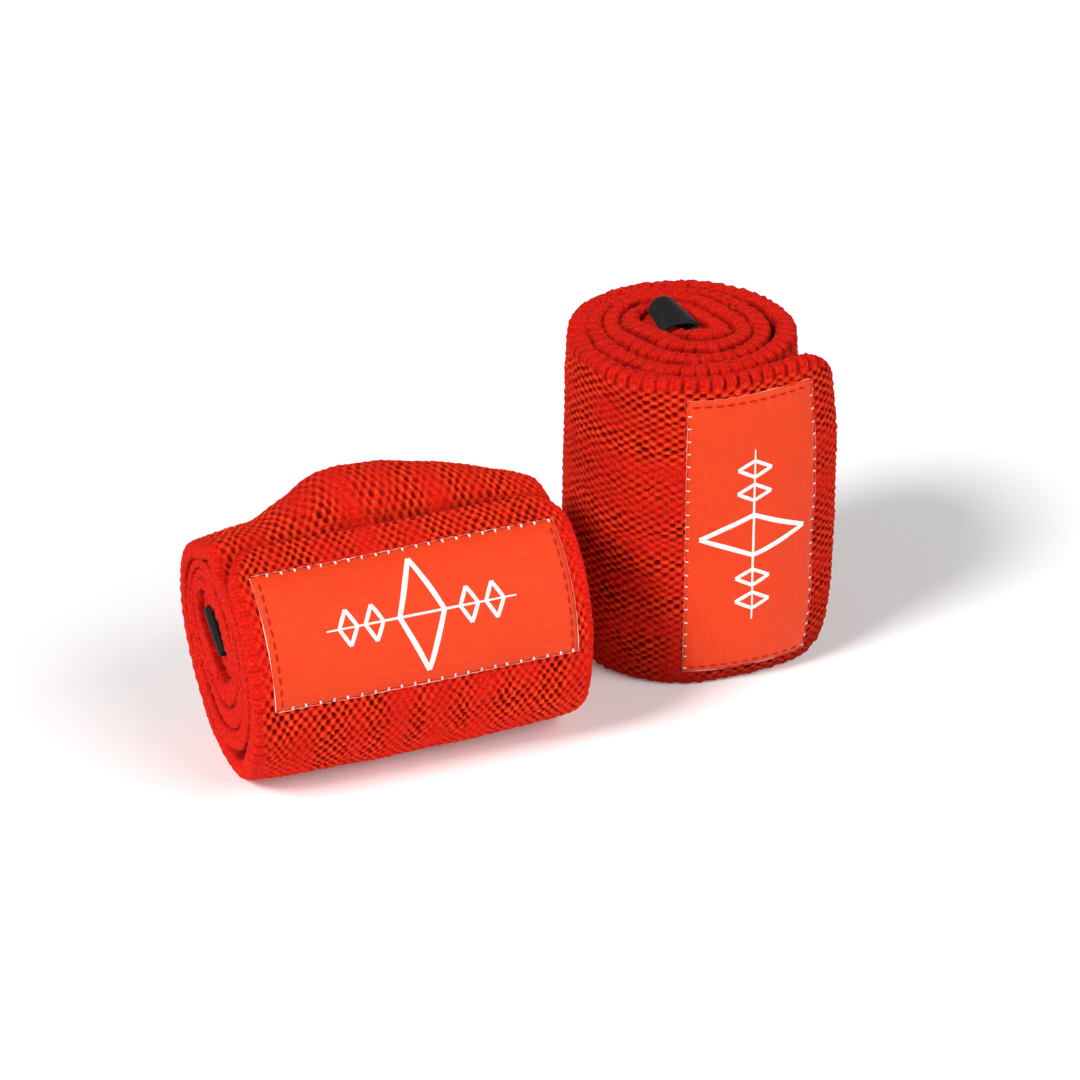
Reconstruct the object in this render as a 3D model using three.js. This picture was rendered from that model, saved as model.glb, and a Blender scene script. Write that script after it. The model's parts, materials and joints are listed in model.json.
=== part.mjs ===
// A pair of hand wraps, rolled up for storage: one stands on its end, its twin lies on its side.
// Each wrap is a heavy knitted elastic band rolled around its own thumb loop, with a satin label on the
// outside of the free end and hook tape on the inside. Millimetres, +Z up, Y away from the viewer.
import * as THREE from "three";

// Driving dimensions
const BAND_WIDTH = 80; // also the length of a roll
const ROLL_RADIUS = 27.4;
const BAND_THICKNESS = 3.3; // where the band is slack; it is squeezed thinner between tight turns
const TAB_THICKNESS = 2.9;
const TAB_LENGTH = 43; // the free end, from the line where it peels to its tip
const TURNS = 4.8; // turns between the core and the peel line
const PEEL_ANGLE = -2; // degrees, where the peel line lies on the roll
const CORE_HALF_GAP = 1.75; // half the width of the slit that the thumb loop is rolled into
const CORE_HALF_LENGTH = 7.2;
const CORNER_RADIUS = 11; // the rounded corners of the band's free end
const GAP = 0.3; // clearance between neighbouring pieces
const STEPS_PER_TURN = 22;

const LABEL = { width: 70.5, length: 31, thickness: 0.5 };
const HOOK_TAPE = { width: 68, length: 28, thickness: 0.8, start: 1.2 }; // starts this far inside the label
const THREAD = 0.5; // side of a thread's square section
const SEAM_INSET = 1.6; // the seam through label, band and hook tape runs this far inside the label's edge

const STRAP = { width: 12.5, thickness: 1.15, slack: 0.35 }; // the thumb loop's flat elastic
const LOOP_DEPTH = 34; // how far the loop's legs reach down the core
const LOOP_NECK = 0.6; // the legs stay together this far past the core's mouth
const TAIL_LENGTH = 22;
const BARTACK = { width: 9, height: 2.4, thickness: 0.45 };
const TAIL_THICKNESS = 2 * STRAP.thickness - GAP; // the strap's two sewn ends, pressed together

// How much the band's first turn has grown round the core, by degrees from its inner end.
const CORE_GROWTH = [
  [0, 0],
  [200, 0.2],
  [360, 3.9],
];
const SLIT_EASE = 0.02; // how gently the turns round the ends of the slit: 0 is a sharp step

const rad = THREE.MathUtils.degToRad;

const MATERIALS = {
  knit: { color: 0xc8301c, roughness: 0.95, metalness: 0 },
  satin: { color: 0xf2502c, roughness: 0.55, metalness: 0 },
  hooks: { color: 0xb02a18, roughness: 0.6, metalness: 0 },
  whiteThread: { color: 0xf0e8e4, roughness: 0.8, metalness: 0 },
  redThread: { color: 0x9c1c10, roughness: 0.8, metalness: 0 },
  elastic: { color: 0x222224, roughness: 0.85, metalness: 0 },
};

function namedMesh(name, geometry, finish) {
  geometry.computeVertexNormals();
  const mesh = new THREE.Mesh(geometry, new THREE.MeshStandardMaterial(MATERIALS[finish]));
  mesh.name = name;
  return mesh;
}

// Straight lines between knots [[x, y], ...].
function between(knots, x) {
  let i = 1;
  while (i < knots.length - 1 && knots[i][0] < x) i += 1;
  const [x0, y0] = knots[i - 1];
  const [x1, y1] = knots[i];
  return y0 + ((y1 - y0) * THREE.MathUtils.clamp(x - x0, 0, x1 - x0)) / (x1 - x0);
}

// Angles on a roll run counter-clockwise seen from its top, from its front (-Y).
const outward = (degrees) => new THREE.Vector2(Math.sin(rad(degrees)), -Math.cos(rad(degrees)));

// A closed solid whose sections are rings of equal length, the first and last filled.
function loft(sections, closed = false) {
  const count = sections[0].length;
  const positions = sections.flat().flatMap((p) => [p.x, p.y, p.z]);
  const faces = [];
  const spans = closed ? sections.length : sections.length - 1;
  for (let i = 0; i < spans; i += 1) {
    const here = i * count;
    const next = ((i + 1) % sections.length) * count;
    for (let k = 0; k < count; k += 1) {
      const l = (k + 1) % count;
      faces.push(here + k, here + l, next + l, here + k, next + l, next + k);
    }
  }
  if (!closed) {
    const last = (sections.length - 1) * count;
    // Each end is a strip between the ring's two long sides.
    for (let k = 0; k < count / 2 - 1; k += 1) {
      const [a, b, c, d] = [k, k + 1, count - 2 - k, count - 1 - k];
      faces.push(a, c, b, a, d, c);
      faces.push(last + a, last + b, last + c, last + a, last + c, last + d);
    }
  }
  const geometry = new THREE.BufferGeometry();
  geometry.setAttribute("position", new THREE.Float32BufferAttribute(positions, 3));
  geometry.setIndex(faces);
  return geometry;
}

// A band standing on edge: at each station it has an outer point, the way out, a thickness and its two edges.
// lift(station, z) moves it outward where it bulges.
function ribbon(stations, rows = 1, lift = () => 0) {
  return loft(
    stations.map((station) => {
      const side = (depth) =>
        Array.from({ length: rows + 1 }, (_, i) => {
          const z = THREE.MathUtils.lerp(station.low, station.high, i / rows);
          const p = station.point.clone().addScaledVector(station.out, lift(station, z) - depth);
          return new THREE.Vector3(p.x, p.y, z);
        });
      return [...side(0).reverse(), ...side(station.thickness)];
    }),
  );
}

// The outer face of the rolled band. Every turn lies on the one below; the turns are drawn out along the slit in
// the core and grow round towards the outside.
function spiral(shape) {
  const start = PEEL_ANGLE - 360 * TURNS;
  const coreRadius = CORE_HALF_GAP + BAND_THICKNESS;
  const knots = [
    ...CORE_GROWTH.map(([angle, growth]) => [start + angle, coreRadius + growth]),
    ...shape.outerTurn.map(([angle, radius]) => [PEEL_ANGLE + angle, radius]),
  ];
  const slit = outward(shape.slitAngle);
  const towards = (angle) => {
    const across = Math.cos(rad(angle - shape.slitAngle));
    return across / Math.sqrt(across * across + SLIT_EASE);
  };
  const place = (angle) => {
    const radius = between(knots, angle);
    const inner = 1 - (radius - coreRadius) / (ROLL_RADIUS - coreRadius);
    return outward(angle)
      .multiplyScalar(radius)
      .addScaledVector(slit, inner * (CORE_HALF_LENGTH - CORE_HALF_GAP) * towards(angle))
      .add(new THREE.Vector2(...shape.coreCentre).multiplyScalar(inner));
  };
  const pitch = (angle) =>
    angle - 360 < start ? Infinity : place(angle).sub(place(angle - 360)).dot(outward(angle));
  return { start, place, thickness: (angle) => Math.min(BAND_THICKNESS, pitch(angle) - GAP) };
}

function bandGeometry(shape) {
  const { start, place, thickness } = spiral(shape);
  const end = PEEL_ANGLE - GAP / 2 / rad(ROLL_RADIUS);
  const count = Math.round(TURNS * STEPS_PER_TURN);
  const stations = Array.from({ length: count + 1 }, (_, i) => {
    const angle = THREE.MathUtils.lerp(start, end, i / count);
    return {
      angle,
      point: place(angle),
      out: outward(angle),
      thickness: thickness(angle),
      low: 0,
      high: BAND_WIDTH,
    };
  });
  return ribbon(stations, shape.rows, (station, z) => shape.hump(station.angle - PEEL_ANGLE, z));
}

// The outer face of the free end, as points at a distance along it from the peel line.
function tabCurve(shape) {
  const steps = 84;
  const at = [{ point: outward(PEEL_ANGLE).multiplyScalar(ROLL_RADIUS), heading: shape.tabHeading[0][1] }];
  for (let i = 1; i <= steps; i += 1) {
    const heading = between(shape.tabHeading, ((i - 0.5) * TAB_LENGTH) / steps);
    const step = new THREE.Vector2(Math.cos(rad(heading)), Math.sin(rad(heading)));
    at.push({ point: at[i - 1].point.clone().addScaledVector(step, TAB_LENGTH / steps), heading });
  }
  return (distance) => {
    const place = THREE.MathUtils.clamp((distance * steps) / TAB_LENGTH, 0, steps);
    const i = Math.min(Math.floor(place), steps - 1);
    const point = at[i].point.clone().lerp(at[i + 1].point, place - i);
    return { point, out: outward(THREE.MathUtils.lerp(at[i].heading, at[i + 1].heading, place - i)) };
  };
}

// A patch that follows the free end, held a height above its outer face (negative: below it).
function tabPatch(curve, { from, to, steps, height, thickness, edge }) {
  return ribbon(
    Array.from({ length: steps + 1 }, (_, i) => {
      const distance = THREE.MathUtils.lerp(from, to, i / steps);
      const { point, out } = curve(distance);
      const inset = edge(distance);
      return {
        point: point.addScaledVector(out, height),
        out,
        thickness,
        low: inset,
        high: BAND_WIDTH - inset,
      };
    }),
  );
}

// The band narrows in a round at each corner of its free end.
function cornerInset(distance) {
  const into = Math.max(0, distance - (TAB_LENGTH - CORNER_RADIUS));
  return CORNER_RADIUS - Math.sqrt(Math.max(0, CORNER_RADIUS ** 2 - into ** 2));
}

// A thread around a rectangle of the free end, resting a height above its outer face.
function threadRing(curve, { from, to, inset, height }) {
  const along = 12;
  const across = 6;
  const corners = [];
  const side = (count, place) => {
    for (let i = 0; i < count; i += 1) corners.push(place(i / count));
  };
  side(along, (k) => [THREE.MathUtils.lerp(from, to, k), inset, 0, -1]);
  side(across, (k) => [to, THREE.MathUtils.lerp(inset, BAND_WIDTH - inset, k), 1, 0]);
  side(along, (k) => [THREE.MathUtils.lerp(to, from, k), BAND_WIDTH - inset, 0, 1]);
  side(across, (k) => [from, THREE.MathUtils.lerp(BAND_WIDTH - inset, inset, k), -1, 0]);
  const half = THREAD / 2;
  const sections = corners.map(([distance, z, alongOut, acrossOut], i) => {
    const turn = i === 0 || i === along || i === along + across || i === 2 * along + across;
    const previous = corners[(i + corners.length - 1) % corners.length];
    const [a, b] = turn ? [alongOut + previous[2], acrossOut + previous[3]] : [alongOut, acrossOut];
    const corner = (sideways, up) => {
      const { point, out } = curve(distance + a * sideways);
      point.addScaledVector(out, height + up);
      return new THREE.Vector3(point.x, point.y, z + b * sideways);
    };
    return [corner(half, 0), corner(-half, 0), corner(-half, THREAD), corner(half, THREAD)];
  });
  return loft(sections, true);
}

// The thumb loop: a flat elastic strap on edge in the slit, its two legs side by side, open into an arch on top.
function loopGeometry(shape) {
  const foot = BAND_WIDTH - LOOP_DEPTH;
  const legInside = STRAP.slack / 2;
  const bow = shape.loopBow;
  const archFoot = BAND_WIDTH + shape.loopRise - STRAP.thickness - bow;
  const neck = Math.min(BAND_WIDTH + LOOP_NECK, archFoot - LOOP_NECK);
  const outline = (offset) => {
    const half = bow + offset;
    const leg = legInside + offset;
    const arch = new THREE.EllipseCurve(0, archFoot, half, half, 0, Math.PI);
    return [new THREE.Vector2(leg, foot), new THREE.Vector2(leg, neck), ...arch.getPoints(12)].concat(
      [new THREE.Vector2(-leg, neck), new THREE.Vector2(-leg, foot)],
    );
  };
  const section = new THREE.Shape([...outline(STRAP.thickness), ...outline(0).reverse()]);
  return new THREE.ExtrudeGeometry(section, { depth: STRAP.width, steps: 1, bevelEnabled: false })
    .translate(0, 0, -STRAP.width / 2)
    .rotateX(Math.PI / 2);
}

// The sewn ends of the strap, one on the other, and the bar tack that holds them.
function tailGeometry() {
  return new THREE.BoxGeometry(TAIL_THICKNESS, STRAP.width, TAIL_LENGTH).translate(
    -BARTACK.thickness / 2,
    0,
    BAND_WIDTH - LOOP_DEPTH - GAP - TAIL_LENGTH / 2,
  );
}

function bartackGeometry() {
  return new THREE.BoxGeometry(BARTACK.thickness, BARTACK.width, BARTACK.height).translate(
    TAIL_THICKNESS / 2 + GAP,
    0,
    BAND_WIDTH - LOOP_DEPTH - GAP - TAIL_LENGTH / 2,
  );
}

function wrap(name, shape) {
  const curve = tabCurve(shape);
  const group = new THREE.Group();
  const add = (piece, geometry, finish) => group.add(namedMesh(name + "_" + piece, geometry, finish));
  const labelInset = (BAND_WIDTH - LABEL.width) / 2;
  const tapeInset = (BAND_WIDTH - HOOK_TAPE.width) / 2;
  const labelEnd = shape.labelStart + LABEL.length;

  add("band", bandGeometry(shape), "knit");
  add(
    "tab",
    tabPatch(curve, {
      from: GAP / 2,
      to: TAB_LENGTH,
      steps: 22,
      height: 0,
      thickness: TAB_THICKNESS,
      edge: cornerInset,
    }),
    "knit",
  );
  add(
    "label",
    tabPatch(curve, {
      from: shape.labelStart,
      to: labelEnd,
      steps: 12,
      height: GAP + LABEL.thickness,
      thickness: LABEL.thickness,
      edge: () => labelInset,
    }),
    "satin",
  );
  add(
    "hook_tape",
    tabPatch(curve, {
      from: shape.labelStart + HOOK_TAPE.start,
      to: shape.labelStart + HOOK_TAPE.start + HOOK_TAPE.length,
      steps: 12,
      height: -TAB_THICKNESS - GAP,
      thickness: HOOK_TAPE.thickness,
      edge: () => tapeInset,
    }),
    "hooks",
  );
  add(
    "label_seam",
    threadRing(curve, {
      from: shape.labelStart + SEAM_INSET,
      to: labelEnd - SEAM_INSET,
      inset: labelInset + SEAM_INSET,
      height: 2 * GAP + LABEL.thickness,
    }),
    "redThread",
  );
  add(
    "edge_stitch",
    threadRing(curve, {
      from: shape.labelStart - THREAD / 2 - GAP,
      to: labelEnd + THREAD / 2 + GAP,
      inset: labelInset - THREAD / 2 - GAP,
      height: GAP,
    }),
    "whiteThread",
  );

  const core = new THREE.Group();
  core.position.set(...shape.coreCentre, 0);
  core.rotation.z = rad(shape.slitAngle);
  core.add(namedMesh(name + "_thumb_loop", loopGeometry(shape), "elastic"));
  core.add(namedMesh(name + "_loop_tail", tailGeometry(), "elastic"));
  core.add(namedMesh(name + "_bartack", bartackGeometry(), "redThread"));
  group.add(core);
  return group;
}

const standing = wrap("standing", {
  slitAngle: 40,
  coreCentre: [-0.5, 4],
  // Radius of the last full turn, by degrees before the peel line.
  outerTurn: [
    [-360, 22.4],
    [-310, 23.6],
    [-260, 26.7],
    [-180, 27.0],
    [-80, 27.0],
    [0, ROLL_RADIUS],
  ],
  // Heading of the free end's outer face, by distance from the peel line.
  tabHeading: [
    [0, -2],
    [2, 3],
    [32, 36],
    [37, 55],
    [TAB_LENGTH, 72],
  ],
  rows: 1,
  hump: () => 0,
  labelStart: 1.6,
  loopBow: 1.95,
  loopRise: 4.2,
});

// The lying wrap's slack turn bulges behind the free end, high in the middle of the roll.
const HUMP_HEIGHT = 10.5;
const humpAlong = [
  [0, 0],
  [4, 1.6 / HUMP_HEIGHT],
  [23, 0.7],
  [43, 1],
  [58, 0.5],
  [66, 0.14],
  [80, 0],
];
const humpAround = [
  [-276, 0],
  [-242, 1],
  [-212, 1],
  [-140, 0],
];

const lying = wrap("lying", {
  slitAngle: -28,
  coreCentre: [4.4, 1.7],
  outerTurn: [
    [-360, 22.0],
    [-285, 22.4],
    [-244, 26.9],
    [-200, 27.4],
    [0, ROLL_RADIUS],
  ],
  tabHeading: [
    [0, -2],
    [TAB_LENGTH, 84],
  ],
  rows: 8,
  hump: (angle, z) => HUMP_HEIGHT * between(humpAlong, z) * between(humpAround, angle),
  labelStart: 2.4,
  loopBow: STRAP.slack / 2 + 0.2,
  loopRise: -0.5,
});

// The twin lies on its side: its top end points to the front left and its label faces the front.
const LYING_TURN = 21.5; // degrees that the lying roll's axis is turned from X
const LYING_ROLL = 91; // degrees that the roll is turned about its own axis
const LYING_END = new THREE.Vector3(-104, -59, ROLL_RADIUS); // centre of its front left end
const pointing = new THREE.Vector3(-Math.cos(rad(LYING_TURN)), -Math.sin(rad(LYING_TURN)), 0);
const up = new THREE.Vector3(0, 0, 1);
const front = new THREE.Vector3().crossVectors(up, pointing);
const sideways = new THREE.Matrix4().makeBasis(
  up.clone().multiplyScalar(Math.sin(rad(LYING_ROLL))).addScaledVector(front, -Math.cos(rad(LYING_ROLL))),
  up.clone().multiplyScalar(-Math.cos(rad(LYING_ROLL))).addScaledVector(front, -Math.sin(rad(LYING_ROLL))),
  pointing,
);
lying.quaternion.setFromRotationMatrix(sideways);
lying.position.copy(LYING_END).addScaledVector(pointing, -BAND_WIDTH);

const pair = new THREE.Group().add(standing, lying);

// The origin is the centre of the pair's footprint.
const bounds = new THREE.Box3().setFromObject(pair, true);
const centre = bounds.getCenter(new THREE.Vector3());
standing.position.sub(new THREE.Vector3(centre.x, centre.y, bounds.min.z));
lying.position.sub(new THREE.Vector3(centre.x, centre.y, bounds.min.z));

export default pair;
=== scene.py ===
"""A pair of knitted elastic hand wraps, rolled up: one stands on its end, its twin lies on its side."""

import json
import math
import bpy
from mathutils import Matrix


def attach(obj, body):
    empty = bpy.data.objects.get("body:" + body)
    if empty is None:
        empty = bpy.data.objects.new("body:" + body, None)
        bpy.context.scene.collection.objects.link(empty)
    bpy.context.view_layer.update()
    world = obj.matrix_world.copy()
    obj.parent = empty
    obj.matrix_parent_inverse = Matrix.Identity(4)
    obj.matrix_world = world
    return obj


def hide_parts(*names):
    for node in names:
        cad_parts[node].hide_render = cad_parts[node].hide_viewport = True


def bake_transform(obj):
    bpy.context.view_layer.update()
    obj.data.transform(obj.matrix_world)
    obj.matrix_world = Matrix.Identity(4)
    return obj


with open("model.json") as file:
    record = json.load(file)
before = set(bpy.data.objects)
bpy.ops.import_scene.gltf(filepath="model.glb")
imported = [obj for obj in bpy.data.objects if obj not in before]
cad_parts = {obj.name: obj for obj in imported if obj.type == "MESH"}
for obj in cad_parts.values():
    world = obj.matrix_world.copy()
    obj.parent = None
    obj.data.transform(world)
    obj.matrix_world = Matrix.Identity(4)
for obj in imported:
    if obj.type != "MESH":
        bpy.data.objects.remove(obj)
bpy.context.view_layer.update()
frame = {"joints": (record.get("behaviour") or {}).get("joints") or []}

from types import SimpleNamespace

import bpy
import numpy as np
from mathutils import Vector

MM = 0.001

# ------------------------------------------------------------
# Dimensions, in millimetres. They repeat the CAD source's. Angles are in degrees: 0 is the front
# of a roll, and they grow along the band towards its free end, by 360 for each turn.
# ------------------------------------------------------------
WIDTH = 80.0  # of the band
ROLL_RADIUS = 27.4
BAND_THICKNESS = 3.3
TAB_LENGTH = 43.0
TURNS = 4.8
PEEL = -2.0  # the angle where the free end leaves the roll
CORE_HALF_GAP = 1.75
CORE_HALF_LENGTH = 7.2
CORNER_RADIUS = 11.0
LABEL_WIDTH, LABEL_LENGTH = 70.5, 31.0
LABEL_INSET = (WIDTH - LABEL_WIDTH) / 2
TAPE_WIDTH, TAPE_LENGTH, TAPE_START = 68.0, 28.0, 1.2
STRAP_WIDTH, STRAP_THICKNESS = 12.5, 1.15
LOOP_FOOT = WIDTH - 34.0
TAIL_LENGTH = 22.0

# ------------------------------------------------------------
# How the soft pieces are drawn, in millimetres and degrees
# ------------------------------------------------------------
# The spiral
CORE_GROWTH = [(0, 0.0), (200, 0.2), (360, 3.9)]  # angles from the band's start, and radius gained
TURN_GAP = 0.12
THINNEST, THICKEST = 1.6, 4.6
CORE_ANGLE, CORE_THICKEST = -1100.0, 6.0  # turns inside this angle may fill more room
INNERMOST_PITCH = 4.0
FREE_END_THICKNESS = 3.2
TIP_ROUND = 1.7  # how far from the free end's tip the band begins to thin out
ANGLE_STEP, LINE_STEP, FREE_STEPS = 0.2, 0.1, 430
LINE_BLUR, THICKNESS_BLUR = 6.0, 30.0  # in steps of the line

# Where one piece of skin takes over from the next, and how finely they are divided
OUTER_ANGLE, SPLIT_ANGLE = PEEL - 372.0, -30.0
CORE_STEP, SKIN_STEP = 0.36, 0.3
CORE_ROWS, OUTER_ROWS, FREE_ROWS = (14, 8), (250, 30), (250, 110)  # on the outer and the inner face
BEND_ANGLE, BEND_END = -20.0, 5.0  # places where the free end would bend, from this angle to this far past the peel line; nothing bends it

# The knit: open holes in columns along the band, every second column shifted by half.
STITCH_ALONG = 1.6
STITCH_ACROSS = 2.04
STRIPE = 10.5  # from one stripe of loose stitches to the next
EDGE = 1.1  # how far the selvedge's round reaches in from the band's edge
EDGE_POINTS = 15
SKIN_LIFT, CROWN_LIFT, PUFF_LIFT = 0.05, 0.15, 0.02
HOLE_DEPTH, SLOT_DEPTH = 0.5, 0.17
COARSE_FUZZ, FINE_FUZZ = 0.13, 0.1

# Needlework, tape and strap
TICK_PITCH, TICK_LENGTH, TICK_OUT = 3.12, 0.95, 0.15
THREAD_OUT, THREAD_HEIGHT, THREAD_STEP = 0.12, 0.34, 0.5
SEAM_PITCH, SEAM_STITCH, SEAM_INSET, SEAM_RADIUS = 2.6, 1.75, 1.35, 0.19
HOOK_PITCH, HOOK_RADIUS = 1.25, 0.12
STRAP_RIB = 0.8
LEG_OFF = 0.62  # from the core's middle to the middle of each leg of the loop
TACK_HALF_LENGTH, TACK_POINTS, TACK_SWING, TACK_ROW, TACK_RADIUS = 4.5, 19, 0.55, 0.8, 0.2


# ------------------------------------------------------------
# Small helpers
# ------------------------------------------------------------
def noise(x, y, cell, seed):
    """Smooth noise from -1 to 1 over a plane, with features about a cell across."""
    size = 64
    table = np.random.RandomState(seed).uniform(-1, 1, (size, size))
    x, y = np.asarray(x) / cell, np.asarray(y) / cell
    i, j = np.floor(x).astype(int), np.floor(y).astype(int)
    u, v = x - i, y - j
    u, v = u * u * (3 - 2 * u), v * v * (3 - 2 * v)
    at = lambda a, b: table[a % size, b % size]
    near = at(i, j) * (1 - u) + at(i + 1, j) * u
    far = at(i, j + 1) * (1 - u) + at(i + 1, j + 1) * u
    return near * (1 - v) + far * v


def smoothstep(lo, hi, x):
    t = np.clip((x - lo) / (hi - lo), 0, 1)
    return t * t * (3 - 2 * t)


def bell(x, middle, spread):
    return np.exp(-(((x - middle) / spread) ** 2))


def cosine(degrees):
    return np.cos(np.radians(degrees))


def belly(z, power):
    """1 at half the band's width, 0 at both edges."""
    return np.sin(np.pi * np.clip(z / WIDTH, 0, 1)) ** power


def outward(degrees):
    a = np.radians(degrees)
    return np.stack([np.sin(a), -np.cos(a)], -1)


def blurred(values, sigma):
    """values, smoothed over a number of samples, with its ends extended in a straight line."""
    n = int(3 * sigma) + 1
    kernel = np.exp(-0.5 * (np.arange(-n, n + 1) / sigma) ** 2)
    kernel /= kernel.sum()
    values = np.asarray(values, float)
    columns = values.reshape(len(values), -1)
    k = np.arange(1, n + 1)
    out = []
    for c in columns.T:
        head = 2 * c[0] - c[np.minimum(k[::-1], len(c) - 1)]
        tail = 2 * c[-1] - c[np.maximum(len(c) - 1 - k, 0)]
        out.append(np.convolve(np.concatenate([head, c, tail]), kernel, "valid"))
    return np.array(out).T.reshape(values.shape)


def knots(pairs, x, sigma):
    """Straight lines between knots, rounded off over sigma."""
    xs, ys = np.array(pairs, float).T
    grid = np.linspace(xs[0] - 4 * sigma, xs[-1] + 4 * sigma, 600)
    return np.interp(x, grid, blurred(np.interp(grid, xs, ys), sigma / (grid[1] - grid[0])))


def distances(line):
    """The distance of each point of a line from its first, along the line."""
    return np.concatenate([[0], np.cumsum(np.linalg.norm(np.diff(line, axis=0), axis=1))])


def directions(line):
    d = np.gradient(line, axis=0)
    return d / (np.linalg.norm(d, axis=1)[:, None] + 1e-12)


# ------------------------------------------------------------
# The two wraps. turned is the angle from the peel line, and z runs up the band to the roll's mouth,
# the end where the loop comes out.
# ------------------------------------------------------------
def standing_slack(s, _turned, z):
    """The free end swells in the middle of its height, and leans in at its top and foot."""
    swell = 1.5 * belly(z, 0.8) * (1.15 - z / WIDTH)
    return smoothstep(8, 26, s) * (swell - 1.6 * smoothstep(58, 80, z) - 0.9 * np.exp(-z / 7.0))


def lying_slack(_s, turned, z):
    """It bulges behind and on top towards the mouth, and sags a little low down at the front."""
    bulge = 1.1 * smoothstep(40, 80, z) * bell(turned, -190, 45)
    bulge = bulge + 2.0 * smoothstep(58, 74, z) * bell(turned, -262, 10)
    return bulge + 1.2 * bell(turned, -55, 24) * belly(z, 0.5)


def standing_rim(angle, z):
    """The innermost turns sink. At the front each turn stands a little above the one outside it."""
    front = smoothstep(0.3, 0.95, cosine(angle - 20))
    sunk = 1.2 * smoothstep(-1000, -1400, angle) + 0.7 * smoothstep(-1400, -1600, angle)
    risen = 1.5 * smoothstep(-200, -1500, angle) * smoothstep(0.0, 0.8, cosine(angle))
    return (z / WIDTH) ** 6 * risen - (z / WIDTH) ** 4 * sunk * (1 - 1.3 * front)


def lying_rim(angle, z):
    """The innermost turn sinks. The outermost one stands out behind the top and draws in underneath."""
    sunk = 1.5 * smoothstep(-1330, -1480, angle)
    out = 1.0 * bell(angle - PEEL, -225, 55) - 1.1 * bell(angle - PEEL, -100, 45)
    return smoothstep(50, 80, z) * out - (z / WIDTH) ** 6 * sunk


# outer_turn, hump.around: (angle from the peel line, value). heading: (distance, direction).
# slots: how marked the selvedge's teeth are at the mouth and at the foot. The knit's brightness,
# painted light and shade: a value, and what is added to it at the floor. A loop's pairs (a, b) mean
# a + b * x, with x from -1 to 1 across the strap. Its angle and centre say how it stands in the core's
# mouth, and inside how much shade is painted on its inner and its outer face.
STANDING = SimpleNamespace(
    name="standing",
    seed=3,
    turned=None,
    slit_angle=40.0,
    core_centre=(-0.5, 4.0),
    outer_turn=[(-360, 22.4), (-310, 23.6), (-260, 26.7), (-180, 27.0), (-80, 27.0), (0, ROLL_RADIUS)],
    heading=[(0, -2), (2, 3), (32, 36), (37, 55), (TAB_LENGTH, 72)],
    hump=None,
    slack=standing_slack,
    rim=standing_rim,
    lean=0.35,
    foot_pull=2.3,
    mouth_pull=0.8,
    slots=(0.85, 0.16),
    rim_fuzz=0.05,
    tone=(0.99, -0.5),
    groove=0.0,
    label_start=1.6,
    tick_radius=0.16,
    thread_radius=0.085,
    loop=SimpleNamespace(
        wide=(3.55, 0.65), high=(2.1, -0.7), base=(WIDTH + 0.5, 0.2), tent=(1.15, 0.15), neck=2.8,
        angle=19.0, centre=(-2.4, 3.7), inside=(1.0, 0.0),
    ),
)
LYING = SimpleNamespace(
    name="lying",
    seed=11,
    turned=91.0,  # about its own axis
    slit_angle=-28.0,
    core_centre=(4.4, 4.6),
    outer_turn=[(-360, 22.0), (-285, 22.4), (-244, 26.9), (-200, 27.4), (0, ROLL_RADIUS)],
    heading=[(0, -2), (TAB_LENGTH, 84)],
    hump=SimpleNamespace(
        along=[(0, 0), (4, 1.9), (13, 4.7), (23, 7.6), (34, 9.6), (44, 10.1)]
        + [(52, 8.8), (55, 6.8), (59, 4.7), (65, 1.3), (71, 0.5), (80, -0.8)],
        around=[(-276, 0), (-242, 1), (-212, 1), (-140, 0)],
    ),
    slack=lying_slack,
    rim=lying_rim,
    lean=0.0,
    foot_pull=0.6,
    mouth_pull=0.2,
    slots=(0.36, 0.16),
    rim_fuzz=-0.1,
    tone=(1.06, 0.12),
    groove=0.55,
    label_start=2.4,
    tick_radius=0.26,
    thread_radius=0.12,
    loop=SimpleNamespace(
        wide=(0.9, -0.3), high=(0.7, 0.0), base=(WIDTH - 1.5, 0.0), tent=(1.0, 0.0), neck=2.4,
        angle=-28.0, centre=(4.4, 4.6), inside=(1.0, 1.0),
    ),
)


# ------------------------------------------------------------
# Meshes
# ------------------------------------------------------------
def mesh_object(name, points, faces, sizes=None, uv=None, fields=None, sharp=(), material=None):
    """points in millimetres in the shared frame. faces is an array of quads, or flat corners with sizes."""
    faces = np.asarray(faces)
    if sizes is None:
        sizes = np.full(len(faces), faces.shape[1])
    corners = faces.ravel().astype(np.int32)
    starts = np.concatenate([[0], np.cumsum(sizes)[:-1]]).astype(np.int32)
    me = bpy.data.meshes.new(name)
    me.vertices.add(len(points))
    me.vertices.foreach_set("co", (np.asarray(points) * MM).astype(np.float32).ravel())
    me.loops.add(len(corners))
    me.loops.foreach_set("vertex_index", corners)
    me.polygons.add(len(sizes))
    me.polygons.foreach_set("loop_start", starts)
    me.polygons.foreach_set("use_smooth", np.ones(len(sizes), bool))
    me.update(calc_edges=True)
    if uv is not None:
        layer = me.uv_layers.new(name="UVMap")
        layer.data.foreach_set("uv", np.asarray(uv, np.float32)[corners].ravel())
    for key, values in (fields or {}).items():
        field = me.attributes.new(key, "FLOAT", "POINT")
        field.data.foreach_set("value", np.asarray(values, np.float32).ravel())
    if len(sharp):
        ends = np.zeros(len(me.edges) * 2, np.int32)
        me.edges.foreach_get("vertices", ends)
        ends = ends.reshape(-1, 2)
        ring = np.zeros(len(points), int) - 1
        for k, members in enumerate(sharp):
            ring[members] = k
        flags = (ring[ends[:, 0]] >= 0) & (ring[ends[:, 0]] == ring[ends[:, 1]])
        me.attributes.new("sharp_edge", "BOOLEAN", "EDGE").data.foreach_set("value", flags)
    me.validate()
    ob = bpy.data.objects.new(name, me)
    bpy.context.scene.collection.objects.link(ob)
    if material is not None:
        me.materials.append(material)
    return ob


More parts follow.
